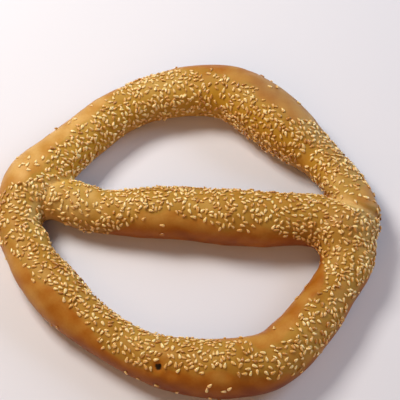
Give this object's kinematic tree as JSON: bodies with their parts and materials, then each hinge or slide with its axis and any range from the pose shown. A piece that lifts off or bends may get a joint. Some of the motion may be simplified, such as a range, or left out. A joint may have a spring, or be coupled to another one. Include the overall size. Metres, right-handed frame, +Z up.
{
  "type": "simit",
  "caption": "Large simit: a baked ring of hand-rolled bread dough with a crossbar, glossy golden-brown crust and toasted sesame on top.",
  "frame": {"origin": "on the table under the middle of the outline, where the ring's flat base rests", "axes": "+X along the crossbar towards the end that laps over the ring, +Y towards the arch beyond the crossbar, +Z up through the seeded crown"},
  "size_m": [0.208, 0.203, 0.0286],
  "materials": {
    "crust": "baked crust with a thin egg-and-milk glaze, satin"
  },
  "bodies": {
    "root": {"simit": "crust"}
  },
  "joints": []
}
